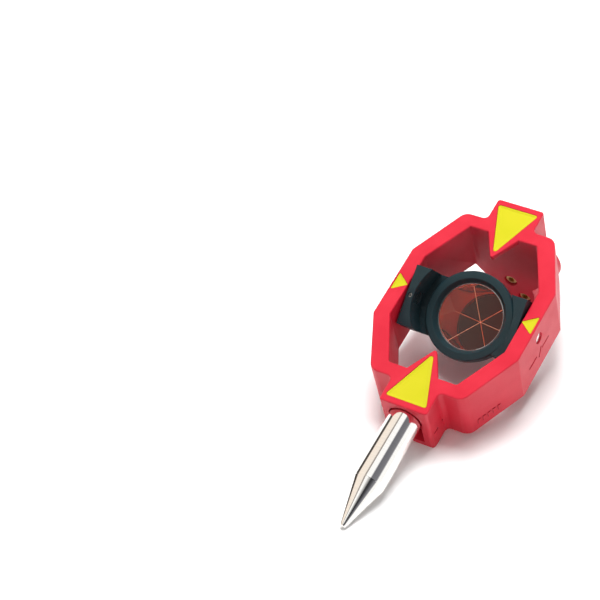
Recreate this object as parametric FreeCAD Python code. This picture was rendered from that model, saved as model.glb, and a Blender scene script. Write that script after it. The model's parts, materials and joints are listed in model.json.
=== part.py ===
import FreeCAD, Part
import math
import os

# Mini survey prism: a red frame that carries a tilting glass corner cube, a steel point
# and a bull's-eye level. Millimetres.
#
# Every piece is modelled square to the frame: X across, Y up the pole's axis from the
# glass centre, Z towards the side that the glass faces, with the frame's front face at
# Z = 0. table_placement() then turns the whole object to how it lies on a table, on the tip of
# its point and the rim of its level, and moves the origin to the middle of its underside.

V = FreeCAD.Vector
X_AXIS = V(1, 0, 0)
Y_AXIS = V(0, 1, 0)
Z_AXIS = V(0, 0, 1)

# ---- frame casting -------------------------------------------------------------------
FRAME_DEPTH = 23.4
FRAME_HALF_WIDTH = 30.9
FLAT_HALF_HEIGHT = 16.6
SHOULDER_HALF_WIDTH = 19.4
SHOULDER_HEIGHT = 40.8
BLOCK_HALF_WIDTH = 10.0
BLOCK_HEIGHT = 51.6
WINDOW_HALF_WIDTH = 24.4
WINDOW_FLAT = 15.0
WINDOW_TOP_HALF_WIDTH = 14.3
WINDOW_TOP = 35.0
SPIKE_HALF_WIDTH = 6.6
SPIKE_APEX = 22.9
SPIKE_THICKNESS = 2.0
FACE_EDGE_ROUND = 0.6
POLE_AXIS_Z = -8.6

# ---- yellow targets, set flush in the front face ---------------------------------------
TARGET_THICKNESS = 0.5
TARGET_RECESS = 0.6
TARGET_GAP = 0.1
BIG_TARGET = (8.75, 48.9, 25.2)
SMALL_TARGET = (4.4, 30.0, 24.3)
BIG_TARGET_CORNER = 0.9
SMALL_TARGET_CORNER = 0.4

# ---- thread inserts, joining stud and point ---------------------------------------------
THREAD_RADIUS = 3.0
TAPPED_RADIUS = 2.5
RUNNING_GAP = 0.05
INSERT_RADIUS = 4.5
INSERT_LENGTH = 11.5
SOCKET_DEPTH = 4.6
SOCKET_RADIUS = 7.1
SOCKET_HALF_WIDTH = 6.4
SOCKET_BACK_Z = -20.4
POINT_RADIUS = 6.5
POINT_SHOULDER = -47.1
CONE_START = -82.0
TIP_Y = -101.5
TIP_RADIUS = 1.1
STUD_IN_FRAME = 9.0
STUD_IN_POINT = 9.0
STUD_HEX = 3.0
STUD_END_GAP = 0.3

# ---- prism holder, in its own frame: origin on the tilt axis, Z out of the glass ---------
TILT = 28.0
PIVOT_Z = -7.5
EAR_OUTER_X = 23.6
EAR_HALF_HEIGHT = 12.1
EAR_FRONT_Z = 6.3
WEB_FRONT_Z = -5.0
WEB_BACK_Z = -8.0
BORE_RADIUS = 20.8
RING_RADIUS = 17.9
RING_FRONT_Z = -3.3
RING_BACK_Z = -6.5
RING_BEVEL_RADIUS = 14.9
RING_OPENING = 13.4
BARREL_RADIUS = 15.4
BARREL_BACK_Z = -17.2
BARREL_TAIL_RADIUS = 5.4
BARREL_TAIL_Z = -27.6
CAVITY_RADIUS = 13.9
CAVITY_TAIL_RADIUS = 4.4
CAVITY_TAIL_Z = -26.5
GLASS_RADIUS = 13.7
GLASS_FRONT_Z = -6.1
GLASS_RIM = 1.0
CUBE_TURN = 9.0
SEAL_THICKNESS = 0.15
SEAL_WIDTH = 0.25
APEX_PAD_RADIUS = 3.6

# ---- tilt axis: pins, washers and the small screw that locks the left pin --------
PIN_RADIUS = 2.45
PIN_OUTER_X = 30.3
PIN_INNER_X = 21.0
PIN_HOLE_RADIUS = 2.5
WASHER_RADIUS = 5.0
PIN_SCREW_RADIUS = 0.9
PIN_SCREW_X = 22.25
PIN_SCREW_LENGTH = 2.9

# ---- bull's-eye level on the lug behind the top block --------------------------------------
LEVEL_Z = -35.0
LUG_BOSS_RADIUS = 10.0
LUG_RIM_RADIUS = 13.3
LUG_RIM_BOTTOM = 46.0
LUG_TOP = 54.0
LUG_EDGE_ROUND = 0.7
LUG_ROOT_HALF_WIDTH = 17.0
LUG_NECK_HALF_WIDTH = 8.0
LUG_NECK_Z = -33.0
LEVEL_POCKET_RADIUS = 10.4
LEVEL_POCKET_FLOOR = 46.5
CUP_RADIUS = 10.0
CUP_BOTTOM = 47.4
CUP_TOP = 53.7
VIAL_RADIUS = 8.6
VIAL_BOTTOM = 48.8
VIAL_TOP = 53.5
FLUID_RADIUS = 7.4
FLUID_BOTTOM = 49.6
FLUID_TOP = 52.6
BUBBLE_RADIUS = 2.2
LEVEL_SCREW_CIRCLE = 6.0
LEVEL_SCREW_RADIUS = 1.25
LEVEL_SCREW_HEAD_RADIUS = 2.5
LEVEL_SCREW_HEAD = 3.0
LEVEL_SCREW_RECESS = 0.8
LEVEL_SCREW_HEAD_GAP = 0.1
LEVEL_SCREW_TOP = 48.5


def cylinder(radius, start, direction, length):
    return Part.makeCylinder(radius, length, start, direction)


def tube(outer, inner, start, direction, length):
    return cylinder(outer, start, direction, length).cut(cylinder(inner, start, direction, length))


def box(low, high):
    size = high - low
    return Part.makeBox(size.x, size.y, size.z, low)


def hexagon(across_flats, centre, direction, depth):
    """A hexagonal prism, such as the socket in a screw's head."""
    corner = across_flats / math.sqrt(3)
    points = [V(corner * math.cos(k * math.pi / 3), corner * math.sin(k * math.pi / 3), 0) for k in range(7)]
    prism = Part.Face(Part.makePolygon(points)).extrude(V(0, 0, depth))
    prism.Placement = FreeCAD.Placement(centre, FreeCAD.Rotation(Z_AXIS, direction))
    return prism


def revolved(profile, axis_point, axis_direction):
    """Turn a list of (radius, distance along the axis) points once round the axis."""
    points = [V(radius, 0, along) for radius, along in profile]
    face = Part.Face(Part.makePolygon(points + [points[0]]))
    solid = face.revolve(V(0, 0, 0), Z_AXIS, 360)
    solid.Placement = FreeCAD.Placement(axis_point, FreeCAD.Rotation(Z_AXIS, axis_direction))
    return solid


def rounded_outline(corners):
    """A closed wire through (x, y, corner radius) points, each corner a tangent arc."""
    edges = []
    stops = []
    count = len(corners)
    for k in range(count):
        here = V(corners[k][0], corners[k][1], 0)
        before = V(corners[k - 1][0], corners[k - 1][1], 0)
        after = V(corners[(k + 1) % count][0], corners[(k + 1) % count][1], 0)
        back = (before - here).normalize()
        ahead = (after - here).normalize()
        half_angle = back.getAngle(ahead) / 2
        reach = corners[k][2] / math.tan(half_angle)
        inward = (back + ahead).normalize()
        middle = here + inward * (corners[k][2] / math.sin(half_angle) - corners[k][2])
        stops.append((here + back * reach, middle, here + ahead * reach))
    for k in range(count):
        edges.append(Part.Arc(*stops[k]).toShape())
        edges.append(Part.LineSegment(stops[k][2], stops[(k + 1) % count][0]).toShape())
    return Part.Wire(edges)


def all_round(quarter):
    """The upper right quarter of an outline, mirrored into all four, in order."""
    right = [(x, -y, r) for x, y, r in reversed(quarter)] + quarter
    left = [(-x, y, r) for x, y, r in reversed(right)]
    return right + left


def round_edges(shape, radius, wanted):
    """Round the edges that the wanted test picks."""
    return shape.makeFillet(radius, [edge for edge in shape.Edges if wanted(edge)])


def in_front_face(edge):
    bounds = edge.BoundBox
    return abs(bounds.ZMin) < 0.001 and abs(bounds.ZMax) < 0.001


# ---- frame -----------------------------------------------------------------------------
def frame_ring():
    """The octagonal frame, with a thin spike at the front of its window's top and bottom."""
    outer = all_round([
        (FRAME_HALF_WIDTH, FLAT_HALF_HEIGHT, 1.5),
        (SHOULDER_HALF_WIDTH, SHOULDER_HEIGHT, 4.5),
        (BLOCK_HALF_WIDTH, SHOULDER_HEIGHT, 2.0),
        (BLOCK_HALF_WIDTH, BLOCK_HEIGHT, 1.2),
    ])
    outer = Part.Face(rounded_outline(outer))
    window = [
        (WINDOW_HALF_WIDTH, WINDOW_FLAT, 1.0),
        (WINDOW_TOP_HALF_WIDTH, WINDOW_TOP, 1.0),
    ]
    ring = outer.cut(Part.Face(rounded_outline(all_round(window)))).extrude(V(0, 0, -FRAME_DEPTH))
    spiked = all_round(window + [(SPIKE_HALF_WIDTH, WINDOW_TOP, 0.6)])
    half = len(spiked) // 2
    spiked = spiked[:half] + [(0, SPIKE_APEX, 1.0)] + spiked[half:] + [(0, -SPIKE_APEX, 1.0)]
    plate = outer.cut(Part.Face(rounded_outline(spiked))).extrude(V(0, 0, -SPIKE_THICKNESS))
    return round_edges(ring.fuse(plate).removeSplitter(), FACE_EDGE_ROUND, in_front_face)


def level_lug():
    """The seat of the level: a boss with a wider rim, on a web behind the top block."""
    base = V(0, WINDOW_TOP, LEVEL_Z)
    boss = cylinder(LUG_BOSS_RADIUS, base, Y_AXIS, LUG_TOP - WINDOW_TOP)
    rim = cylinder(LUG_RIM_RADIUS, V(0, LUG_RIM_BOTTOM, LEVEL_Z), Y_AXIS, LUG_TOP - LUG_RIM_BOTTOM)
    rim = round_edges(rim, LUG_EDGE_ROUND, lambda edge: edge.Length > 20)
    root_z = -FRAME_DEPTH + 1.0
    outline = [
        V(LUG_ROOT_HALF_WIDTH, WINDOW_TOP, root_z),
        V(LUG_NECK_HALF_WIDTH, WINDOW_TOP, LUG_NECK_Z),
        V(-LUG_NECK_HALF_WIDTH, WINDOW_TOP, LUG_NECK_Z),
        V(-LUG_ROOT_HALF_WIDTH, WINDOW_TOP, root_z),
    ]
    web = Part.Face(Part.makePolygon(outline + [outline[0]])).extrude(V(0, SHOULDER_HEIGHT - WINDOW_TOP, 0))
    neck = box(V(-LUG_NECK_HALF_WIDTH, WINDOW_TOP, LEVEL_Z), V(LUG_NECK_HALF_WIDTH, BLOCK_HEIGHT, root_z))
    return boss.fuse([rim, web, neck])


def level_cuts():
    """The pocket for the level's cup, and the stepped holes of its adjusting screws."""
    pocket = cylinder(LEVEL_POCKET_RADIUS, V(0, LEVEL_POCKET_FLOOR, LEVEL_Z), Y_AXIS, 20)
    cuts = [pocket]
    for x, z in level_screw_places():
        start = V(x, WINDOW_TOP, z)
        cuts.append(cylinder(LEVEL_SCREW_RADIUS + RUNNING_GAP, start, Y_AXIS, 20))
        depth = LEVEL_SCREW_HEAD + LEVEL_SCREW_RECESS + LEVEL_SCREW_HEAD_GAP
        cuts.append(cylinder(LEVEL_SCREW_HEAD_RADIUS + 0.35, start, Y_AXIS, depth))
    return cuts


def point_socket():
    """The socket that the point's shoulder enters: round in front, square behind."""
    start = V(0, -BLOCK_HEIGHT, POLE_AXIS_Z)
    rounded = cylinder(SOCKET_RADIUS, start, Y_AXIS, SOCKET_DEPTH)
    low = V(-SOCKET_HALF_WIDTH, -BLOCK_HEIGHT, SOCKET_BACK_Z)
    square = box(low, V(SOCKET_HALF_WIDTH, -BLOCK_HEIGHT + SOCKET_DEPTH, POLE_AXIS_Z))
    return rounded.fuse(square)


def triangle(size, spread, depth):
    """A target's outline, grown by spread: half width at the base, base and apex heights."""
    half_width, base, apex = size
    rounding = BIG_TARGET_CORNER if size == BIG_TARGET else SMALL_TARGET_CORNER
    corners = [(half_width, base, rounding), (-half_width, base, rounding), (0, apex, rounding)]
    face = Part.Face(rounded_outline(corners))
    if spread > 0:
        face = face.makeOffset2D(spread)
    return face.extrude(V(0, 0, -depth))


def target_places():
    """Name, size and turn about the glass's axis of each target."""
    return [
        ("top", BIG_TARGET, 0),
        ("left", SMALL_TARGET, 90),
        ("bottom", BIG_TARGET, 180),
        ("right", SMALL_TARGET, 270),
    ]


def turned(shape, angle):
    shape = shape.copy()
    shape.rotate(V(0, 0, 0), Z_AXIS, angle)
    return shape


def index_mark_cuts():
    """The height mark cut in each side face: two dashes with a slanted stroke between."""
    depth = 0.5
    width = 0.8
    mark_z = -15.0
    cuts = []
    for side in (-1, 1):
        x_low = side * FRAME_HALF_WIDTH - depth
        for y_low, y_high in ((-10.0, -3.6), (1.2, 7.2)):
            low = V(x_low, y_low, mark_z - width / 2)
            cuts.append(box(low, V(x_low + 2 * depth, y_high, mark_z + width / 2)))
        stroke = box(V(x_low, -0.6 - width / 2, mark_z - 3), V(x_low + 2 * depth, -0.6 + width / 2, mark_z + 2))
        stroke.rotate(V(0, -0.6, mark_z - 0.5), X_AXIS, -32)
        cuts.append(stroke)
    return cuts


def block_marks():
    """A short slot and a dimple on each side of the bottom block."""
    cuts = []
    for side in (-1, 1):
        x_low = side * BLOCK_HALF_WIDTH - 0.4
        slot = box(V(x_low, -49.2, -16.1), V(x_low + 0.8, -46.2, -15.5))
        cuts.append(slot)
        cuts.append(cylinder(0.5, V(side * (BLOCK_HALF_WIDTH - 0.5), -42.7, -15.6), X_AXIS * side, 2))
    return cuts


def facet_bars():
    """A plain row of raised bars on the lower right facet, near the back edge."""
    along = V(FRAME_HALF_WIDTH - SHOULDER_HALF_WIDTH, SHOULDER_HEIGHT - FLAT_HALF_HEIGHT, 0).normalize()
    outward = V(along.y, -along.x, 0)
    middle = V(FRAME_HALF_WIDTH + SHOULDER_HALF_WIDTH, -(SHOULDER_HEIGHT + FLAT_HALF_HEIGHT), 0) * 0.5
    bars = []
    for k in range(5):
        centre = middle + along * (2.4 * (k - 2) - 3.0) + V(0, 0, -19.0)
        bar = Part.makeBox(1.3, 0.7, 2.6, V(-0.65, -0.4, -1.3))
        turn = FreeCAD.Rotation(along, outward, Z_AXIS, "XYZ")
        bar.Placement = FreeCAD.Placement(centre, turn)
        bars.append(bar)
    return bars


def frame():
    body = frame_ring().fuse([level_lug()] + facet_bars())
    bottom_insert = cylinder(INSERT_RADIUS, bottom_insert_start(), Y_AXIS, INSERT_LENGTH)
    top_insert = cylinder(INSERT_RADIUS, top_insert_start(), Y_AXIS, INSERT_LENGTH)
    pin_hole = cylinder(PIN_HOLE_RADIUS, V(-40, 0, PIVOT_Z), X_AXIS, 80)
    cuts = [point_socket(), bottom_insert, top_insert, pin_hole]
    for _, size, angle in target_places():
        cuts.append(turned(triangle(size, TARGET_GAP, TARGET_RECESS), angle))
    cuts += level_cuts() + index_mark_cuts() + block_marks()
    return body.cut(cuts).removeSplitter()


# ---- thread inserts, stud and point ------------------------------------------------------
def bottom_insert_start():
    return V(0, -BLOCK_HEIGHT + SOCKET_DEPTH, POLE_AXIS_Z)


def top_insert_start():
    return V(0, BLOCK_HEIGHT - INSERT_LENGTH, POLE_AXIS_Z)


def bottom_insert():
    return tube(INSERT_RADIUS, THREAD_RADIUS, bottom_insert_start(), Y_AXIS, INSERT_LENGTH)


def top_insert():
    return tube(INSERT_RADIUS, TAPPED_RADIUS, top_insert_start(), Y_AXIS, INSERT_LENGTH)


def joining_stud():
    start = V(0, POINT_SHOULDER - STUD_IN_POINT, POLE_AXIS_Z)
    length = STUD_IN_POINT + STUD_IN_FRAME
    stud = cylinder(THREAD_RADIUS - RUNNING_GAP, start, Y_AXIS, length)
    top = V(0, start.y + length, POLE_AXIS_Z)
    return stud.cut(hexagon(STUD_HEX, top, Y_AXIS * -1, 3.0))


def point():
    bore = THREAD_RADIUS
    floor = POINT_SHOULDER - STUD_IN_POINT - STUD_END_GAP
    profile = [
        (0, floor),
        (bore, floor),
        (bore, POINT_SHOULDER),
        (POINT_RADIUS - 0.4, POINT_SHOULDER),
        (POINT_RADIUS, POINT_SHOULDER - 0.4),
        (POINT_RADIUS, CONE_START),
        (TIP_RADIUS, TIP_Y),
        (0, TIP_Y),
    ]
    return revolved(profile, V(0, 0, POLE_AXIS_Z), Y_AXIS)


# ---- prism holder, square to the glass ------------------------------------------------------
def prism_housing():
    corner = V(EAR_OUTER_X, EAR_HALF_HEIGHT, 0)
    block = box(V(-corner.x, -corner.y, WEB_BACK_Z), V(corner.x, corner.y, EAR_FRONT_Z))
    block = block.cut(cylinder(BORE_RADIUS, V(0, 0, WEB_FRONT_Z), Z_AXIS, 30))
    barrel = revolved([
        (0, RING_BACK_Z),
        (RING_RADIUS - 0.5, RING_BACK_Z),
        (RING_RADIUS - 0.5, WEB_BACK_Z - 1.5),
        (BARREL_RADIUS, WEB_BACK_Z - 2.5),
        (BARREL_RADIUS, BARREL_BACK_Z),
        (BARREL_TAIL_RADIUS, BARREL_TAIL_Z),
        (0, BARREL_TAIL_Z),
    ], V(0, 0, 0), Z_AXIS)
    cavity = revolved([
        (0, 10),
        (CAVITY_RADIUS, 10),
        (CAVITY_RADIUS, BARREL_BACK_Z),
        (CAVITY_TAIL_RADIUS, CAVITY_TAIL_Z),
        (0, CAVITY_TAIL_Z),
    ], V(0, 0, 0), Z_AXIS)
    ring_seat = cylinder(RING_RADIUS + 0.1, V(0, 0, RING_BACK_Z), Z_AXIS, 30)
    pin_hole = cylinder(PIN_RADIUS, V(-40, 0, 0), X_AXIS, 80)
    cuts = [cavity, ring_seat, pin_hole]
    cuts.append(cylinder(PIN_SCREW_RADIUS, V(-PIN_SCREW_X, 0, 0), Z_AXIS, 10))
    return block.fuse(barrel).cut(cuts).removeSplitter()


def retaining_ring():
    """The flat black ring in front, bevelled towards the glass, that holds the glass in."""
    lip = GLASS_FRONT_Z + SEAL_THICKNESS
    return revolved([
        (RING_OPENING, lip),
        (CAVITY_RADIUS, lip),
        (CAVITY_RADIUS, RING_BACK_Z),
        (RING_RADIUS, RING_BACK_Z),
        (RING_RADIUS, RING_FRONT_Z - 0.4),
        (RING_RADIUS - 0.4, RING_FRONT_Z),
        (RING_BEVEL_RADIUS, RING_FRONT_Z),
        (RING_OPENING, lip + 0.4),
    ], V(0, 0, 0), Z_AXIS)


def corner_cube():
    """A round glass prism whose back is the corner of a cube: three faces at right angles."""
    depth = GLASS_RADIUS * math.sqrt(2) + GLASS_RIM
    apex = V(0, 0, GLASS_FRONT_Z - depth)
    side = 60.0
    cube = Part.makeBox(side, side, side)
    cube.Placement = FreeCAD.Placement(apex, FreeCAD.Rotation(V(1, 1, 1), Z_AXIS))
    turn = FreeCAD.Rotation(Z_AXIS, CUBE_TURN)
    cube.Placement = FreeCAD.Placement(V(0, 0, 0), turn).multiply(cube.Placement)
    return cylinder(GLASS_RADIUS, apex, Z_AXIS, depth).common(cube)


def glass_seal():
    start = V(0, 0, GLASS_FRONT_Z)
    return tube(GLASS_RADIUS, GLASS_RADIUS - SEAL_WIDTH, start, Z_AXIS, SEAL_THICKNESS)


def apex_pad():
    """The soft pad in the housing's tail that the glass's apex sits in."""
    apex_z = GLASS_FRONT_Z - GLASS_RADIUS * math.sqrt(2) - GLASS_RIM
    pad = cylinder(APEX_PAD_RADIUS, V(0, 0, apex_z + 0.2), Z_AXIS, 2.4)
    return pad.cut(corner_cube())


def pivot_pin(side):
    start = V(side * PIN_INNER_X, 0, 0)
    pin = cylinder(PIN_RADIUS, start, X_AXIS * side, PIN_OUTER_X - PIN_INNER_X)
    return round_edges(pin, 0.3, lambda edge: abs(edge.CenterOfMass.x) > PIN_OUTER_X - 0.01)


def friction_washer(side):
    start = V(side * (EAR_OUTER_X + 0.02), 0, 0)
    thickness = WINDOW_HALF_WIDTH - EAR_OUTER_X - 0.04
    return tube(WASHER_RADIUS, PIN_HOLE_RADIUS, start, X_AXIS * side, thickness)


def pin_screw():
    """The small screw in the left ear that locks its pin."""
    start = V(-PIN_SCREW_X, 0, PIN_RADIUS)
    screw = cylinder(PIN_SCREW_RADIUS, start, Z_AXIS, PIN_SCREW_LENGTH)
    top = start + Z_AXIS * PIN_SCREW_LENGTH
    return screw.cut(hexagon(0.9, top, Z_AXIS * -1, 1.2))


# ---- level ---------------------------------------------------------------------------------
def level_screw_places():
    """X and Z of the three adjusting screws; the first is nearest the frame."""
    angles = [math.radians(90 + 120 * k) for k in range(3)]
    return [(LEVEL_SCREW_CIRCLE * math.cos(a), LEVEL_Z + LEVEL_SCREW_CIRCLE * math.sin(a)) for a in angles]


def level_screw(x, z):
    start = V(x, WINDOW_TOP + LEVEL_SCREW_RECESS, z)
    head = cylinder(LEVEL_SCREW_HEAD_RADIUS, start, Y_AXIS, LEVEL_SCREW_HEAD)
    head = round_edges(head, 0.3, lambda edge: edge.BoundBox.YMax < start.y + 0.01)
    shank = cylinder(LEVEL_SCREW_RADIUS, start, Y_AXIS, LEVEL_SCREW_TOP - start.y)
    return head.fuse(shank).cut(hexagon(2.5, start, Y_AXIS, 2.2)).removeSplitter()


def level_cup():
    profile = [
        (0, CUP_BOTTOM),
        (CUP_RADIUS, CUP_BOTTOM),
        (CUP_RADIUS, CUP_TOP - 0.5),
        (CUP_RADIUS - 0.5, CUP_TOP),
        (VIAL_RADIUS, CUP_TOP),
        (VIAL_RADIUS, VIAL_BOTTOM),
        (0, VIAL_BOTTOM),
    ]
    cup = revolved(profile, V(0, 0, LEVEL_Z), Y_AXIS)
    depth = LEVEL_SCREW_TOP - CUP_BOTTOM
    holes = []
    for x, z in level_screw_places():
        holes.append(cylinder(LEVEL_SCREW_RADIUS + RUNNING_GAP, V(x, CUP_BOTTOM, z), Y_AXIS, depth + 0.1))
    return cup.cut(holes)


def level_vial():
    """The vial's glass, hollow for the fluid, with a slightly domed top."""
    profile = [
        (0, VIAL_BOTTOM),
        (VIAL_RADIUS, VIAL_BOTTOM),
        (VIAL_RADIUS, VIAL_TOP - 0.5),
        (VIAL_RADIUS - 0.5, VIAL_TOP),
        (0, VIAL_TOP),
    ]
    return revolved(profile, V(0, 0, LEVEL_Z), Y_AXIS).cut(fluid_space())


def fluid_space():
    start = V(0, FLUID_BOTTOM, LEVEL_Z)
    return cylinder(FLUID_RADIUS, start, Y_AXIS, FLUID_TOP - FLUID_BOTTOM)


def level_fluid():
    """The fluid, with its bubble at the rim that is uppermost while the object lies down."""
    bubble_z = LEVEL_Z + FLUID_RADIUS - BUBBLE_RADIUS * 0.8
    bubble = Part.makeSphere(BUBBLE_RADIUS, V(0, FLUID_TOP - 0.3, bubble_z))
    return fluid_space().cut(bubble)


def level_cushion():
    start = V(0, LEVEL_POCKET_FLOOR, LEVEL_Z)
    return tube(CUP_RADIUS - 0.4, CUP_RADIUS - 2.4, start, Y_AXIS, CUP_BOTTOM - LEVEL_POCKET_FLOOR)


# ---- placing ---------------------------------------------------------------------------------
def lying_angle():
    """The slope at which the tip's rim and the level rim's lower edge both touch the table."""
    reach = LUG_RIM_BOTTOM + LUG_EDGE_ROUND - TIP_Y
    rim_z = LEVEL_Z - LUG_RIM_RADIUS + LUG_EDGE_ROUND
    drop = (POLE_AXIS_Z - TIP_RADIUS) - rim_z
    return math.degrees(math.atan2(drop, reach) + math.asin(LUG_EDGE_ROUND / math.hypot(reach, drop)))


def holder_placement():
    return FreeCAD.Placement(V(0, 0, PIVOT_Z), FreeCAD.Rotation(X_AXIS, TILT))


def table_placement():
    """Turn the object as it lies, then put the middle of its underside at the origin."""
    turn = FreeCAD.Placement(V(0, 0, 0), FreeCAD.Rotation(X_AXIS, lying_angle()))
    tip_low = turn.multVec(V(0, TIP_Y, POLE_AXIS_Z - TIP_RADIUS))
    front = turn.multVec(V(0, TIP_Y, POLE_AXIS_Z + TIP_RADIUS)).y
    rim = turn.multVec(V(0, LUG_TOP - LUG_EDGE_ROUND, LEVEL_Z - LUG_RIM_RADIUS + LUG_EDGE_ROUND)).y
    back = rim + LUG_EDGE_ROUND
    shift = V(0, -(front + back) / 2, -tip_low.z)
    return FreeCAD.Placement(shift, turn.Rotation)


def pieces():
    """Every piece by name, with True for those that tilt with the prism."""
    found = [
        ("frame", frame(), False),
        ("bottom_thread_insert", bottom_insert(), False),
        ("top_thread_insert", top_insert(), False),
        ("joining_stud", joining_stud(), False),
        ("point", point(), False),
        ("level_cup", level_cup(), False),
        ("level_vial", level_vial(), False),
        ("level_fluid", level_fluid(), False),
        ("level_cushion", level_cushion(), False),
        ("prism_housing", prism_housing(), True),
        ("retaining_ring", retaining_ring(), True),
        ("glass_seal", glass_seal(), True),
        ("corner_cube", corner_cube(), True),
        ("apex_pad", apex_pad(), True),
        ("pin_screw", pin_screw(), True),
    ]
    for name, size, angle in target_places():
        plate = triangle(size, 0, TARGET_THICKNESS)
        plate.translate(V(0, 0, TARGET_THICKNESS - TARGET_RECESS))
        found.append(("target_" + name, turned(plate, angle), False))
    for k, (x, z) in enumerate(level_screw_places()):
        found.append(("level_screw_" + str(k + 1), level_screw(x, z), False))
    for name, side in (("left", -1), ("right", 1)):
        found.append(("pivot_pin_" + name, pivot_pin(side), True))
        found.append(("friction_washer_" + name, friction_washer(side), True))
    return found


def main():
    os.makedirs("parts", exist_ok=True)
    on_table = table_placement()
    for name, shape, tilts in pieces():
        shape = shape.copy()
        if tilts:
            shape.Placement = holder_placement().multiply(shape.Placement)
        shape.Placement = on_table.multiply(shape.Placement)
        shape.exportStep("parts/" + name + ".step")


main()
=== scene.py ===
import json
import math

import bmesh
import bpy
from mathutils import Euler, Matrix, Vector


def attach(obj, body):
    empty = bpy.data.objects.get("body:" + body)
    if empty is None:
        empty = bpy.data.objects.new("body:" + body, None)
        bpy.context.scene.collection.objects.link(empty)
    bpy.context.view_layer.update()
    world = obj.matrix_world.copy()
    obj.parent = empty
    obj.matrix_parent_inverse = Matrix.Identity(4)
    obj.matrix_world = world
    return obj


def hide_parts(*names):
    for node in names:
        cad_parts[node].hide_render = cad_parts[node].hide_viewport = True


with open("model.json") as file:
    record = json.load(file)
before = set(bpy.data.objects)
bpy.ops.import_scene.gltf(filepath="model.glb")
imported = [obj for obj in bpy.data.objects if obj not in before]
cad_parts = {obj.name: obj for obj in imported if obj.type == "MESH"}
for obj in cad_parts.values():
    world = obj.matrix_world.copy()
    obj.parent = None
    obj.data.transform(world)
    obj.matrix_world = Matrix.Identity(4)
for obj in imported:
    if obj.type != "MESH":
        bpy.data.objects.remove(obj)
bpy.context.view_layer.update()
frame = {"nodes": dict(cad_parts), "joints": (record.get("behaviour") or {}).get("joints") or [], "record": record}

# Lengths are written in millimetres in the frames below and turned into metres as they
# enter a mesh. LOCAL is square to the casting: X across, Y up the pole and Z out of the
# front face, with its origin on the front face level with the glass. HOLDER is square to
# the tilting holder: its origin is on the tilt axis and Z comes out of the glass. POLE,
# LEVEL and PIN have Z along the pole's axis, the bull's-eye level's axis and the tilt axis.
MM = 0.001
TILT = math.radians(28)
PIVOT_Z = -7.5
POLE_Z = -8.6
TIP_Y = -101.5
LEVEL_Z = -35.0

record = frame["record"]
joint = {j["name"]: j for j in frame["joints"]}
mount = {m["name"]: m for m in record["mounts"]}
UP = -Vector(joint["point_travel"]["axis"]).normalized()
RIGHT = Vector((1, 0, 0))
FRONT = RIGHT.cross(UP)


def axes(x, y, z, origin):
    """A matrix from a frame in millimetres to the row frame in metres."""
    turn = Matrix((x * MM, y * MM, z * MM)).transposed().to_4x4()
    turn.translation = origin
    return turn


tip = Vector(mount["tip"]["pos_m"])
LOCAL = axes(RIGHT, UP, FRONT, tip - UP * TIP_Y * MM - FRONT * POLE_Z * MM)
HOLDER = LOCAL @ Matrix.Translation((0, 0, PIVOT_Z)) @ Matrix.Rotation(TILT, 4, "X")
ALONG_Y = Matrix.Rotation(math.radians(-90), 4, "X")
POLE = LOCAL @ Matrix.Translation((0, 0, POLE_Z)) @ ALONG_Y
LEVEL = LOCAL @ Matrix.Translation((0, 0, LEVEL_Z)) @ ALONG_Y
PIN = LOCAL @ Matrix.Translation((0, 0, PIVOT_Z)) @ Matrix.Rotation(math.radians(90), 4, "Y")


# ---- node materials ----------------------------------------------------------------------
def add(tree, kind, inputs=None, **settings):
    """A node, with its settings, and its inputs given as values or as other nodes' sockets."""
    node = tree.nodes.new(kind)
    for key, value in settings.items():
        setattr(node, key, value)
    for key, value in (inputs or {}).items():
        if isinstance(value, bpy.types.NodeSocket):
            tree.links.new(value, node.inputs[key])
        else:
            node.inputs[key].default_value = value
    return node


def material(name, **values):
    """A new material and its Principled node, with uniform values on the node's own sockets."""
    made = bpy.data.materials.new(name)
    made.use_nodes = True
    shader = made.node_tree.nodes["Principled BSDF"]
    for key, value in values.items():
        shader.inputs[key.replace("_", " ")].default_value = value
    return made, made.node_tree, shader


def place(tree, matrix=None, stretch=(1, 1, 1)):
    """Object coordinates, or coordinates in another frame's axes, in metres."""
    at = add(tree, "ShaderNodeTexCoord").outputs["Object"]
    if matrix is None:
        return at
    turn = matrix.decompose()[1].to_euler()
    inputs = {"Vector": at, "Location": matrix.translation, "Rotation": turn, "Scale": stretch}
    return add(tree, "ShaderNodeMapping", inputs, vector_type="TEXTURE").outputs["Vector"]


def noise(tree, vector, scale, detail=3.0, rough=0.55):
    """Noise from 0 to 1, with scale features to the metre."""
    inputs = {"Vector": vector, "Scale": scale, "Detail": detail, "Roughness": rough}
    return add(tree, "ShaderNodeTexNoise", inputs).outputs["Fac"]


def remap(tree, value, low, high, out_low, out_high):
    """A value moved from the range low to high to another range, and held inside it."""
    inputs = {"Value": value, "From Min": low, "From Max": high, "To Min": out_low, "To Max": out_high}
    return add(tree, "ShaderNodeMapRange", inputs).outputs["Result"]


def blend_colours(tree, factor, first, second):
    """The first colour where factor is 0, turning into the second where it is 1."""
    node = add(tree, "ShaderNodeMix", data_type="RGBA")
    tree.links.new(factor, node.inputs[0])
    node.inputs[6].default_value = (*first, 1)
    node.inputs[7].default_value = (*second, 1)
    return node.outputs[2]


def bump(tree, shader, height, depth):
    """Relief from a height between 0 and 1, depth metres deep."""
    node = add(tree, "ShaderNodeBump", {"Height": height, "Distance": depth})
    tree.links.new(node.outputs["Normal"], shader.inputs["Normal"])


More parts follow.
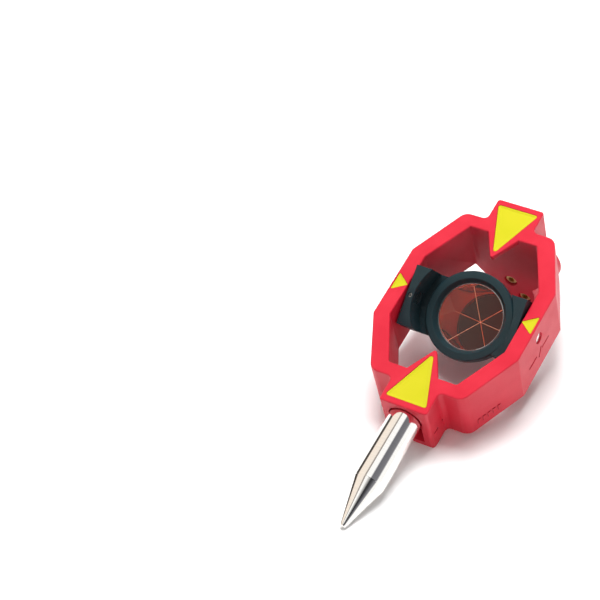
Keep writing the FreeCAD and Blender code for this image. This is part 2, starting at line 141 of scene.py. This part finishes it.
def mottled(name, first, second, rough, grain, depth, patch=90.0, **values):
    """A finish whose colour drifts between two shades, with a fine grain in its surface."""
    made, tree, shader = material(name, **values)
    at = place(tree)
    drift = noise(tree, at, patch, 4.0)
    fine = noise(tree, at, grain, 3.0, 0.6)
    colour = blend_colours(tree, remap(tree, drift, 0.3, 0.7, 0, 1), first, second)
    tree.links.new(colour, shader.inputs["Base Color"])
    tree.links.new(remap(tree, drift, 0.25, 0.75, *rough), shader.inputs["Roughness"])
    if depth:
        bump(tree, shader, fine, depth)
    return made


def painted_crevice_shade(made, reach, darkest):
    """Painted shade: darken a finish in its own narrow grooves and corners, where occlusion finds them."""
    tree = made.node_tree
    link = tree.nodes["Principled BSDF"].inputs["Base Color"].links[0]
    inputs = {"Color": link.from_socket, "Distance": reach}
    hollow = add(tree, "ShaderNodeAmbientOcclusion", inputs, samples=8, only_local=True)
    shade = remap(tree, hollow.outputs["AO"], 0.35, 0.85, darkest, 1.0)
    dark = add(tree, "ShaderNodeVectorMath", {0: link.from_socket, "Scale": shade}, operation="SCALE")
    tree.links.new(dark.outputs[0], tree.nodes["Principled BSDF"].inputs["Base Color"])


def turned(name, matrix, first, second, rough, pitch, depth, radial=False, **values):
    """A lathe finish: fine marks round the frame's Z axis, spaced along it or out from it."""
    made, tree, shader = material(name, **values)
    at = place(tree, matrix)
    split = add(tree, "ShaderNodeSeparateXYZ", {"Vector": at}).outputs
    if radial:
        flat = add(tree, "ShaderNodeCombineXYZ", {"X": split["X"], "Y": split["Y"]}).outputs[0]
        along = add(tree, "ShaderNodeVectorMath", {0: flat}, operation="LENGTH").outputs["Value"]
    else:
        along = split["Z"]
    line = add(tree, "ShaderNodeCombineXYZ", {"X": along}).outputs[0]
    marks = noise(tree, line, 1.0 / (pitch * MM), 4.0, 0.7)
    bands = noise(tree, line, 0.12 / (pitch * MM), 2.0)
    colour = blend_colours(tree, remap(tree, bands, 0.3, 0.7, 0, 1), first, second)
    tree.links.new(colour, shader.inputs["Base Color"])
    tree.links.new(remap(tree, marks, 0.25, 0.75, *rough), shader.inputs["Roughness"])
    bump(tree, shader, marks, depth)
    return made


def clear(name, colour, ior, haze=0.02):
    """Clear glass or plastic with a trace of uneven polish."""
    made, tree, shader = material(name, IOR=ior, Transmission_Weight=1.0)
    smudge = noise(tree, place(tree), 140.0, 4.0)
    tree.links.new(remap(tree, smudge, 0.45, 0.8, 0.0, haze), shader.inputs["Roughness"])
    tint = blend_colours(tree, smudge, colour, [c * 0.97 for c in colour])
    tree.links.new(tint, shader.inputs["Base Color"])
    return made


POWDER_RED = mottled("powder_red", (0.60, 0.009, 0.032), (0.55, 0.006, 0.026), (0.42, 0.54),
                     3800, 0.00003, Specular_IOR_Level=0.55)
# Painted shade: the red is darkened in its grooves and corners, down to a quarter of its colour.
painted_crevice_shade(POWDER_RED, 0.7 * MM, 0.25)
BLACK = mottled("black_anodised", (0.010, 0.027, 0.033), (0.007, 0.019, 0.024), (0.42, 0.56),
                5200, 0.000012, patch=160, Specular_IOR_Level=0.4)
RING_BLACK = turned("black_turned", HOLDER, (0.010, 0.031, 0.038), (0.007, 0.023, 0.029),
                    (0.38, 0.54), 0.22, 0.000006, radial=True, Specular_IOR_Level=0.4)
YELLOW = mottled("target_yellow", (0.56, 0.51, 0.014), (0.52, 0.49, 0.010), (0.42, 0.52),
                 4200, 0.000012, Specular_IOR_Level=0.2)
OUTLINE = mottled("target_outline", (0.80, 0.16, 0.02), (0.72, 0.10, 0.02), (0.4, 0.5),
                  3000, 0.00001)
STEEL = turned("turned_steel", POLE, (0.95, 0.93, 0.90), (0.89, 0.87, 0.84), (0.04, 0.12),
               0.12, 0.0000012, Metallic=1.0)
STUD_STEEL = turned("stud_steel", POLE, (0.60, 0.60, 0.60), (0.52, 0.52, 0.52), (0.22, 0.38),
                    0.2, 0.000003, Metallic=1.0)
PIN_STEEL = turned("pin_steel", PIN, (0.85, 0.85, 0.84), (0.76, 0.76, 0.75), (0.16, 0.30),
                   0.25, 0.000005, radial=True, Metallic=1.0)
BRASS = turned("turned_brass", LEVEL, (0.76, 0.57, 0.28), (0.66, 0.48, 0.22), (0.2, 0.36),
               0.3, 0.000004, Metallic=1.0)
SMALL_STEEL = mottled("small_steel", (0.58, 0.57, 0.54), (0.48, 0.47, 0.45), (0.25, 0.4),
                      6000, 0.000004, Metallic=1.0)
BEZEL = mottled("bare_bezel", (0.80, 0.80, 0.79), (0.70, 0.70, 0.69), (0.18, 0.3),
                6000, 0.000003, Metallic=1.0)
RUBBER = mottled("soft_rubber", (0.018, 0.018, 0.018), (0.026, 0.026, 0.026), (0.6, 0.8),
                 3500, 0.00002)
NYLON = mottled("nylon", (0.030, 0.030, 0.031), (0.042, 0.042, 0.042), (0.42, 0.55),
                3000, 0.00001)
GLASS = clear("prism_front", (1.0, 0.985, 0.975), 1.60, 0.004)
COPPER = mottled("copper_coating", (0.97, 0.44, 0.31), (0.95, 0.40, 0.27), (0.02, 0.05),
                 900, 0, Metallic=1.0)
# Painted glow: the ridge strips emit a faint orange light, standing in for the bright lines where the glass faces
# meet.
FACET_EDGE_PAINTED_GLOW = mottled("facet_edge_painted_glow", (1.0, 0.55, 0.38), (0.95, 0.48, 0.32), (0.3, 0.4), 2000, 0,
                    Emission_Color=(1.0, 0.42, 0.24, 1), Emission_Strength=0.35)
RIM = mottled("ground_rim", (0.80, 0.22, 0.14), (0.70, 0.16, 0.10), (0.45, 0.6), 2500, 0.00001)
CLEAR = clear("clear_acrylic", (0.99, 1.0, 0.97), 1.49)
FLUID = mottled("level_fluid", (0.60, 0.78, 0.05), (0.54, 0.72, 0.04), (0.06, 0.1), 800, 0.000001,
                IOR=1.36)
# Painted shade: a dark green for the fluid's edges, where light bending at them darkens them.
FLUID_PAINTED_SHADE = mottled("fluid_edge_painted_shade", (0.16, 0.26, 0.01), (0.20, 0.30, 0.01), (0.1, 0.2), 900, 0.000001)
MARK = mottled("mark_black", (0.02, 0.02, 0.02), (0.03, 0.03, 0.03), (0.4, 0.5), 3000, 0.000002)

CAD_FINISHES = {
    "frame": POWDER_RED,
    "prism_housing": BLACK,
    "retaining_ring": RING_BLACK,
    "pivot_pin_left": PIN_STEEL,
    "pivot_pin_right": PIN_STEEL,
    "pin_screw": SMALL_STEEL,
    "friction_washer_left": NYLON,
    "friction_washer_right": NYLON,
    "apex_pad": RUBBER,
    "level_cup": BLACK,
    "level_cushion": RUBBER,
    "level_screw_1": BRASS,
    "level_screw_2": BRASS,
    "level_screw_3": BRASS,
    "bottom_thread_insert": BRASS,
}
for name, finish in CAD_FINISHES.items():
    for slot in frame["nodes"][name].material_slots:
        slot.material = finish


# ---- mesh helpers --------------------------------------------------------------------------
def new_piece(name, points, faces, matrix, finishes, body, slot, replaced=(), sharp=32):
    """A mesh piece from millimetre points, placed by matrix and riding on a body."""
    mesh = bpy.data.meshes.new(name)
    mesh.from_pydata([matrix @ Vector(p) for p in points], [], faces)
    mesh.validate()
    work = bmesh.new()
    work.from_mesh(mesh)
    bmesh.ops.recalc_face_normals(work, faces=work.faces)
    work.to_mesh(mesh)
    work.free()
    mesh.shade_smooth()
    mesh.set_sharp_from_angle(angle=math.radians(sharp))
    for finish in finishes:
        mesh.materials.append(finish)
    piece = bpy.data.objects.new(name, mesh)
    bpy.context.scene.collection.objects.link(piece)
    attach(piece, body)
    if replaced:
        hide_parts(*replaced)
    return piece


def softened(points, radius, steps=4, closed=True):
    """A 2-D outline with each corner turned into a small arc."""
    out = []
    count = len(points)
    for k, here in enumerate(points):
        here = Vector(here)
        if not closed and k in (0, count - 1):
            out.append(tuple(here))
            continue
        back = Vector(points[k - 1]) - here
        ahead = Vector(points[(k + 1) % count]) - here
        angle = back.angle(ahead)
        if angle > math.radians(176):
            out.append(tuple(here))
            continue
        reach = min(radius / math.tan(angle / 2), 0.45 * back.length, 0.45 * ahead.length)
        arc = reach * math.tan(angle / 2)
        centre = here + (back.normalized() + ahead.normalized()).normalized() * (arc / math.sin(angle / 2))
        start = here + back.normalized() * reach - centre
        end = here + ahead.normalized() * reach - centre
        sweep = start.angle_signed(end)
        for step in range(steps + 1):
            turn = Matrix.Rotation(-sweep * step / steps, 2)
            out.append(tuple(centre + turn @ start))
    return out


def lathe(name, profile, matrix, finishes, body, slot, replaced=(), round_by=0.15, segments=96, sharp=40):
    """A solid turned from (radius, height) points. A point at radius 0 closes an end."""
    closed = all(r > 0 for r, _ in profile)
    outline = softened(profile, round_by, 3, closed) if round_by else profile
    points = []
    rows = []
    for radius, height in outline:
        if radius < 1e-6:
            rows.append([len(points)] * segments)
            points.append((0, 0, height))
            continue
        rows.append([len(points) + k for k in range(segments)])
        for k in range(segments):
            angle = 2 * math.pi * k / segments
            points.append((radius * math.cos(angle), radius * math.sin(angle), height))
    faces = []
    pairs = list(zip(rows, rows[1:]))
    if closed:
        pairs.append((rows[-1], rows[0]))
    for low, high in pairs:
        for k in range(segments):
            n = (k + 1) % segments
            corners = [low[k], low[n], high[n], high[k]]
            face = list(dict.fromkeys(corners))
            if len(face) > 2:
                faces.append(face)
    return new_piece(name, points, faces, matrix, finishes, body, slot, replaced, sharp)


# ---- targets ---------------------------------------------------------------------------------
# Each target is a plate with a soft raised rim and a thin coloured outline, in its recess.
# A size is its half width, the heights of its base and its apex, and its corner radius.
BIG = (8.75, 48.9, 25.2, 0.9)
SMALL = (4.4, 30.0, 24.3, 0.4)
TARGETS = {"top": (BIG, 0), "left": (SMALL, 90), "bottom": (BIG, 180), "right": (SMALL, 270)}
TARGET_BACK = -0.6


def inset_triangle(size, inset):
    """A target's outline, moved inwards by inset, with rounded corners."""
    half, base, apex, corner = size
    side = math.atan2(half, base - apex)
    base_y = base - inset
    apex_y = apex + inset / math.sin(side)
    half_x = (base_y - apex_y) * math.tan(side)
    corners = [(half_x, base_y), (-half_x, base_y), (0, apex_y)]
    return softened(corners, max(corner - inset, 0.25), 6)


def stacked(levels):
    """Points and faces of a closed solid through same-count outlines at rising heights."""
    points = [(x, y, z) for outline, z in levels for x, y in outline]
    count = len(levels[0][0])
    faces = [list(range(count))]
    for row in range(len(levels) - 1):
        low = row * count
        high = low + count
        for k in range(count):
            n = (k + 1) % count
            faces.append([low + k, low + n, high + n, high + k])
    faces.append([(len(levels) - 1) * count + k for k in range(count)])
    return points, faces


for name, (size, angle) in TARGETS.items():
    turn = LOCAL @ Matrix.Rotation(math.radians(angle), 4, "Z")
    scale = size[0] / BIG[0]
    rim = 0.55 * scale + 0.1
    plate = stacked([
        (inset_triangle(size, 0.0), TARGET_BACK),
        (inset_triangle(size, 0.0), -0.22),
        (inset_triangle(size, 0.10), -0.10),
        (inset_triangle(size, rim), -0.10),
        (inset_triangle(size, rim + 0.16), -0.24),
        (inset_triangle(size, rim + 0.8), -0.24),
    ])
    piece = new_piece("target_plate_" + name, *plate, turn, [YELLOW, OUTLINE], "frame",
                      "target_yellow", ["target_" + name], sharp=50)
    sides = 2 * len(inset_triangle(size, 0.0))
    for polygon in piece.data.polygons[1 : 1 + sides]:
        polygon.material_index = 1

# ---- glass corner cube -------------------------------------------------------------------------
GLASS_RADIUS = 13.65
GLASS_FRONT = -6.1
GLASS_RIM = 1.0
APEX = GLASS_FRONT - GLASS_RADIUS * math.sqrt(2) - GLASS_RIM
CUBE_TURN = math.radians(-6)
RIDGE_WIDTH = 0.13
SECTORS = 32


def corner_cube():
    """The glass as one solid: flat front, ground rim and three coated faces that meet at a point."""
    count = 3 * SECTORS
    points = [(0, 0, APEX)]
    for k in range(count):
        angle = 2 * math.pi * k / count
        off = (angle % (2 * math.pi / 3)) - math.pi / 3
        if k % SECTORS == 0:
            off = math.pi / 3
        x = GLASS_RADIUS * math.cos(angle + CUBE_TURN)
        y = GLASS_RADIUS * math.sin(angle + CUBE_TURN)
        points.append((x, y, APEX + math.sqrt(2) * GLASS_RADIUS * math.cos(off)))
    for radius, height in ((GLASS_RADIUS, GLASS_FRONT - 0.15), (GLASS_RADIUS - 0.15, GLASS_FRONT)):
        for k in range(count):
            angle = 2 * math.pi * k / count + CUBE_TURN
            points.append((radius * math.cos(angle), radius * math.sin(angle), height))
    faces = []
    for third in range(3):
        arc = [1 + (third * SECTORS + k) % count for k in range(SECTORS + 1)]
        faces.append([0] + arc)
    for row in range(2):
        low = 1 + row * count
        for k in range(count):
            n = (k + 1) % count
            faces.append([low + k, low + n, low + count + n, low + count + k])
    faces.append([1 + 2 * count + k for k in range(count)])
    return points, faces


prism = new_piece("prism_glass", *corner_cube(), HOLDER, [GLASS, COPPER, RIM, FACET_EDGE_PAINTED_GLOW],
                  "prism_holder", "prism_glass", ["corner_cube"], sharp=20)
for polygon in prism.data.polygons:
    if polygon.index < 3:
        polygon.material_index = 1
    elif polygon.index < 3 + 3 * SECTORS:
        polygon.material_index = 2

# The three ridges get a narrow ground edge with a faint orange painted glow, and the faces that meet there stay
# flat.
work = bmesh.new()
work.from_mesh(prism.data)
work.verts.ensure_lookup_table()
ridges = list(work.verts[0].link_edges)
bmesh.ops.bevel(work, geom=ridges, offset=RIDGE_WIDTH * MM, offset_type="OFFSET", segments=1,
                profile=0.5, affect="EDGES", clamp_overlap=True, material=3)
work.to_mesh(prism.data)
work.free()
for polygon in prism.data.polygons:
    if polygon.material_index in (1, 3):
        polygon.use_smooth = False

# A bare metal line round the glass, where the ring's edge is worn bright.
lathe("prism_bezel", [(12.95, -5.98), (13.38, -5.98), (13.38, -5.62), (13.2, -5.55)],
      HOLDER, [BEZEL], "prism_holder", "ring_black", ["glass_seal"], round_by=0.05, segments=128)

# ---- point, stud and upper thread insert ---------------------------------------------------------
SHOULDER = -47.1
CONE_START = -82.0
THREAD_PITCH = 1.0
THREAD_SEGMENTS = 48
point_profile = [
    (0, SHOULDER - 9.3), (3.0, SHOULDER - 9.3), (3.0, SHOULDER - 0.4), (3.4, SHOULDER),
    (6.1, SHOULDER), (6.5, SHOULDER - 0.4), (6.5, CONE_START + 0.08), (6.44, CONE_START),
    (6.38, CONE_START - 0.1), (1.3, TIP_Y + 0.75), (1.05, TIP_Y + 0.2), (0.8, TIP_Y), (0, TIP_Y),
]
lathe("point_turned", point_profile, POLE, [STEEL], "point", "point_steel", ["point"],
      round_by=0.06, segments=128, sharp=35)


def thread(major, minor, low, high, inside, steps_a_turn=12):
    """The wall of an M6 thread, outside or inside, that fades out at both ends."""
    pitch = THREAD_PITCH
    segments = THREAD_SEGMENTS
    rows = int((high - low) / pitch * steps_a_turn)
    points = []
    for row in range(rows + 1):
        height = low + (high - low) * row / rows
        fade = min(1.0, (height - low) / pitch, (high - height) / pitch)
        for k in range(segments):
            phase = (height / pitch - k / segments) % 1.0
            crest = 1 - abs(2 * phase - 1)
            crest = min(1.0, max(0.0, 1.35 * crest - 0.15)) * fade
            radius = major - (major - minor) * (crest if inside else 1 - crest)
            angle = 2 * math.pi * k / segments
            points.append((radius * math.cos(angle), radius * math.sin(angle), height))
    faces = []
    for row in range(rows):
        for k in range(segments):
            n = (k + 1) % segments
            low_row = row * segments
            high_row = low_row + segments
            faces.append([low_row + k, low_row + n, high_row + n, high_row + k])
    return points, faces, rows


def stud_solid():
    """The joining stud: an M6 thread with a hexagon socket sunk in its upper end."""
    low, high = SHOULDER - 9.0, SHOULDER + 9.0
    socket_half_width = 1.5
    socket_depth = 3.0
    points, faces, rows = thread(2.95, 2.45, low, high, False)
    segments = THREAD_SEGMENTS
    top = rows * segments
    faces.append(list(range(segments)))
    rim = []
    floor = []
    for k in range(segments):
        angle = 2 * math.pi * k / segments
        wedge = (angle + math.pi / 6) % (math.pi / 3) - math.pi / 6
        radius = socket_half_width / math.cos(wedge)
        x, y = radius * math.cos(angle), radius * math.sin(angle)
        rim.append(len(points))
        points.append((x, y, high))
        floor.append(len(points))
        points.append((x, y, high - socket_depth))
    for k in range(segments):
        n = (k + 1) % segments
        faces.append([top + k, top + n, rim[n], rim[k]])
        faces.append([rim[k], rim[n], floor[n], floor[k]])
    faces.append(floor)
    return points, faces


new_piece("stud_threaded", *stud_solid(), POLE, [STUD_STEEL], "joining_stud", "stud_steel",
          ["joining_stud"], sharp=40)


def insert_solid():
    """The upper thread insert: a brass bush with an M6 thread cut inside it."""
    low, high = 40.1, 51.58
    points, faces, rows = thread(3.0, 2.5, low, high, True)
    segments = THREAD_SEGMENTS
    outer = []
    for radius, height in ((4.5, low), (4.5, high - 0.2), (4.3, high)):
        outer.append(len(points))
        for k in range(segments):
            angle = 2 * math.pi * k / segments
            points.append((radius * math.cos(angle), radius * math.sin(angle), height))
    loops = [0] + outer + [rows * segments]
    for low_row, high_row in zip(loops, loops[1:]):
        for k in range(segments):
            n = (k + 1) % segments
            faces.append([low_row + k, low_row + n, high_row + n, high_row + k])
    return points, faces


new_piece("top_insert_threaded", *insert_solid(), POLE, [BRASS], "frame", "insert_brass",
          ["top_thread_insert"], sharp=40)

# ---- bull's-eye level ----------------------------------------------------------------------------
# A clear lens over a pool of fluid with a bubble, and a black ring as the centre mark.
lens_profile = [
    (0, 52.62), (8.55, 52.62), (8.55, 53.25), (8.1, 53.5), (5.5, 53.62), (2.5, 53.68), (0, 53.69),
]
lathe("vial_lens", lens_profile, LEVEL, [CLEAR], "frame", "vial_clear", ["level_vial"],
      round_by=0.12)
# Painted shade: the vial's wall takes the dark green that stands in for the darkening at the fluid's rim.
lathe("vial_wall", [(7.4, 48.85), (8.55, 48.85), (8.55, 52.58), (7.4, 52.58)], LEVEL, [FLUID_PAINTED_SHADE],
      "frame", "vial_clear", (), round_by=0.1)
lathe("level_pool", [(0, 48.9), (7.35, 48.9), (7.35, 52.2), (7.0, 52.4), (0, 52.4)], LEVEL, [FLUID],
      "frame", "fluid_green", ["level_fluid"], round_by=0.1)
lathe("level_mark", [(2.75, 52.4), (3.1, 52.4), (3.1, 52.49), (2.75, 52.49)], LEVEL, [MARK],
      "frame", "cup_black", (), round_by=0.02)
# Painted shade: the bubble is only a dark ring in the fluid, for the dark outline that light bending at its edge
# makes.
bubble_place = LEVEL @ Matrix.Translation((0, -5.0, 0))
lathe("level_bubble", [(1.7, 52.4), (2.15, 52.4), (2.0, 52.52), (1.82, 52.52)], bubble_place, [FLUID_PAINTED_SHADE],
      "frame", "fluid_green", (), round_by=0.04, segments=64)

# ---- softened edges on the CAD pieces ----------------------------------------------------------------
EDGE_SOFTNESS = {
    "frame": 0.28,
    "prism_housing": 0.22,
    "retaining_ring": 0.08,
    "level_cup": 0.08,
}
for name, width in EDGE_SOFTNESS.items():
    node = frame["nodes"][name]
    weld = node.modifiers.new("weld", "WELD")
    weld.merge_threshold = 0.002 * MM
    bevel = node.modifiers.new("bevel", "BEVEL")
    bevel.width = width * MM
    bevel.segments = 2
    bevel.limit_method = "ANGLE"
    bevel.angle_limit = math.radians(35)
    bevel.harden_normals = True
    bevel.use_clamp_overlap = True

# ---- floor, light and camera --------------------------------------------------------------------------
FLOOR_REACH = 4
corners = [(-1, -1), (1, -1), (1, 1), (-1, 1)]
floor_mesh = bpy.data.meshes.new("floor")
floor_mesh.from_pydata([(x * FLOOR_REACH, y * FLOOR_REACH, 0) for x, y in corners], [], [(0, 1, 2, 3)])
floor_mesh.materials.append(mottled("floor_pale", (0.96, 0.96, 0.96), (0.94, 0.94, 0.94), (0.7, 0.8),
                                    60, 0.00001, patch=3))
floor = bpy.data.objects.new("floor", floor_mesh)
bpy.context.scene.collection.objects.link(floor)

world = bpy.data.worlds.new("studio")
world.use_nodes = True
bpy.context.scene.world = world
background = world.node_tree.nodes["Background"]
background.inputs["Color"].default_value = (1.0, 0.99, 0.975, 1)


def lobe(tree, direction, way, edge, core):
    """How far a direction is inside a soft-edged cone around way: 0 outside, 1 in its core."""
    inputs = {0: direction, 1: Vector(way).normalized()}
    toward = add(tree, "ShaderNodeVectorMath", inputs, operation="DOT_PRODUCT").outputs["Value"]
    return remap(tree, toward, edge, core, 0, 1)


# The studio is bright near its horizon, and dark behind the camera and high on the right.
studio = world.node_tree
direction = add(studio, "ShaderNodeTexCoord").outputs["Generated"]
height = add(studio, "ShaderNodeSeparateXYZ", {"Vector": direction}).outputs["Z"]
sky = remap(studio, height, 0.2, 0.5, 0.78, 0.40)
behind_camera = lobe(studio, direction, (0.43, -0.64, 0.64), 0.86, 0.97)
high_right = lobe(studio, direction, (0.64, 0.29, 0.71), 0.90, 0.96)
dark = add(studio, "ShaderNodeMath", {0: behind_camera, 1: high_right}, operation="MAXIMUM")
shade = remap(studio, dark.outputs["Value"], 0, 1, 1.0, 0.22)
strength = add(studio, "ShaderNodeMath", {0: sky, 1: shade}, operation="MULTIPLY")
studio.links.new(strength.outputs["Value"], background.inputs["Strength"])

# Glossy rays see long pale panels and dark flags instead, which lie along the pole. Each
# stop is an angle about the pole's axis, in degrees from the front towards the right.
PANELS = [
    (-93, (0.90, 0.90, 0.90)),
    (-90, (0.07, 0.06, 0.055)),
    (-72, (0.07, 0.06, 0.055)),
    (-66, (0.95, 0.84, 0.74)),
    (-23, (0.92, 0.84, 0.76)),
    (-20, (0.32, 0.28, 0.25)),
    (-14, (0.32, 0.28, 0.25)),
    (-11, (1.0, 1.0, 1.0)),
    (18, (1.0, 1.0, 1.0)),
    (25, (0.15, 0.15, 0.17)),
    (62, (0.20, 0.20, 0.22)),
    (70, (1.0, 1.0, 1.0)),
]
across = add(studio, "ShaderNodeVectorMath", {0: direction, 1: RIGHT}, operation="DOT_PRODUCT")
ahead = add(studio, "ShaderNodeVectorMath", {0: direction, 1: FRONT}, operation="DOT_PRODUCT")
around = {0: across.outputs["Value"], 1: ahead.outputs["Value"]}
angle = add(studio, "ShaderNodeMath", around, operation="ARCTAN2").outputs["Value"]
panels = add(studio, "ShaderNodeValToRGB", {"Fac": remap(studio, angle, -math.pi, math.pi, 0, 1)})
stops = panels.color_ramp.elements
while len(stops) < len(PANELS):
    stops.new(1.0)
for stop, (degrees, colour) in zip(stops, PANELS):
    stop.position = degrees / 360 + 0.5
    stop.color = (*colour, 1)
near_camera = remap(studio, behind_camera, 0, 1, 1.08, 0.10)
mirrored = add(studio, "ShaderNodeBackground", {"Color": panels.outputs["Color"], "Strength": near_camera})
glossy = add(studio, "ShaderNodeLightPath").outputs["Is Glossy Ray"]
mixed = add(studio, "ShaderNodeMixShader", {0: glossy, 1: background.outputs[0], 2: mirrored.outputs[0]})
studio.links.new(mixed.outputs[0], studio.nodes["World Output"].inputs["Surface"])


def area_light(name, place_at, aim, size, power):
    """A square soft light that shiny surfaces don't mirror, as they mirror the panels."""
    lamp = bpy.data.lights.new(name, "AREA")
    lamp.size = size
    lamp.energy = power
    light = bpy.data.objects.new(name, lamp)
    light.location = place_at
    light.rotation_euler = (Vector(aim) - Vector(place_at)).to_track_quat("-Z", "Y").to_euler()
    light.visible_glossy = False
    bpy.context.scene.collection.objects.link(light)


area_light("overhead", (-0.10, 0.31, 1.25), (0, 0, 0), 0.70, 21.0)
area_light("left", (-0.93, 0.41, 0.80), (0, 0, 0), 0.8, 2.2)
area_light("right_front", (0.95, -0.50, 0.36), (0, 0, 0.02), 0.8, 2.2)

camera_data = bpy.data.cameras.new("camera")
camera_data.lens = 108.9
camera_data.sensor_width = 36
camera = bpy.data.objects.new("camera", camera_data)
camera.location = (0.2452, -0.4597, 0.4826)
camera.rotation_euler = Euler([math.radians(a) for a in (50.302, 3.458, 31.100)])
bpy.context.scene.collection.objects.link(camera)
bpy.context.scene.camera = camera
bpy.context.scene.view_settings.view_transform = "Standard"
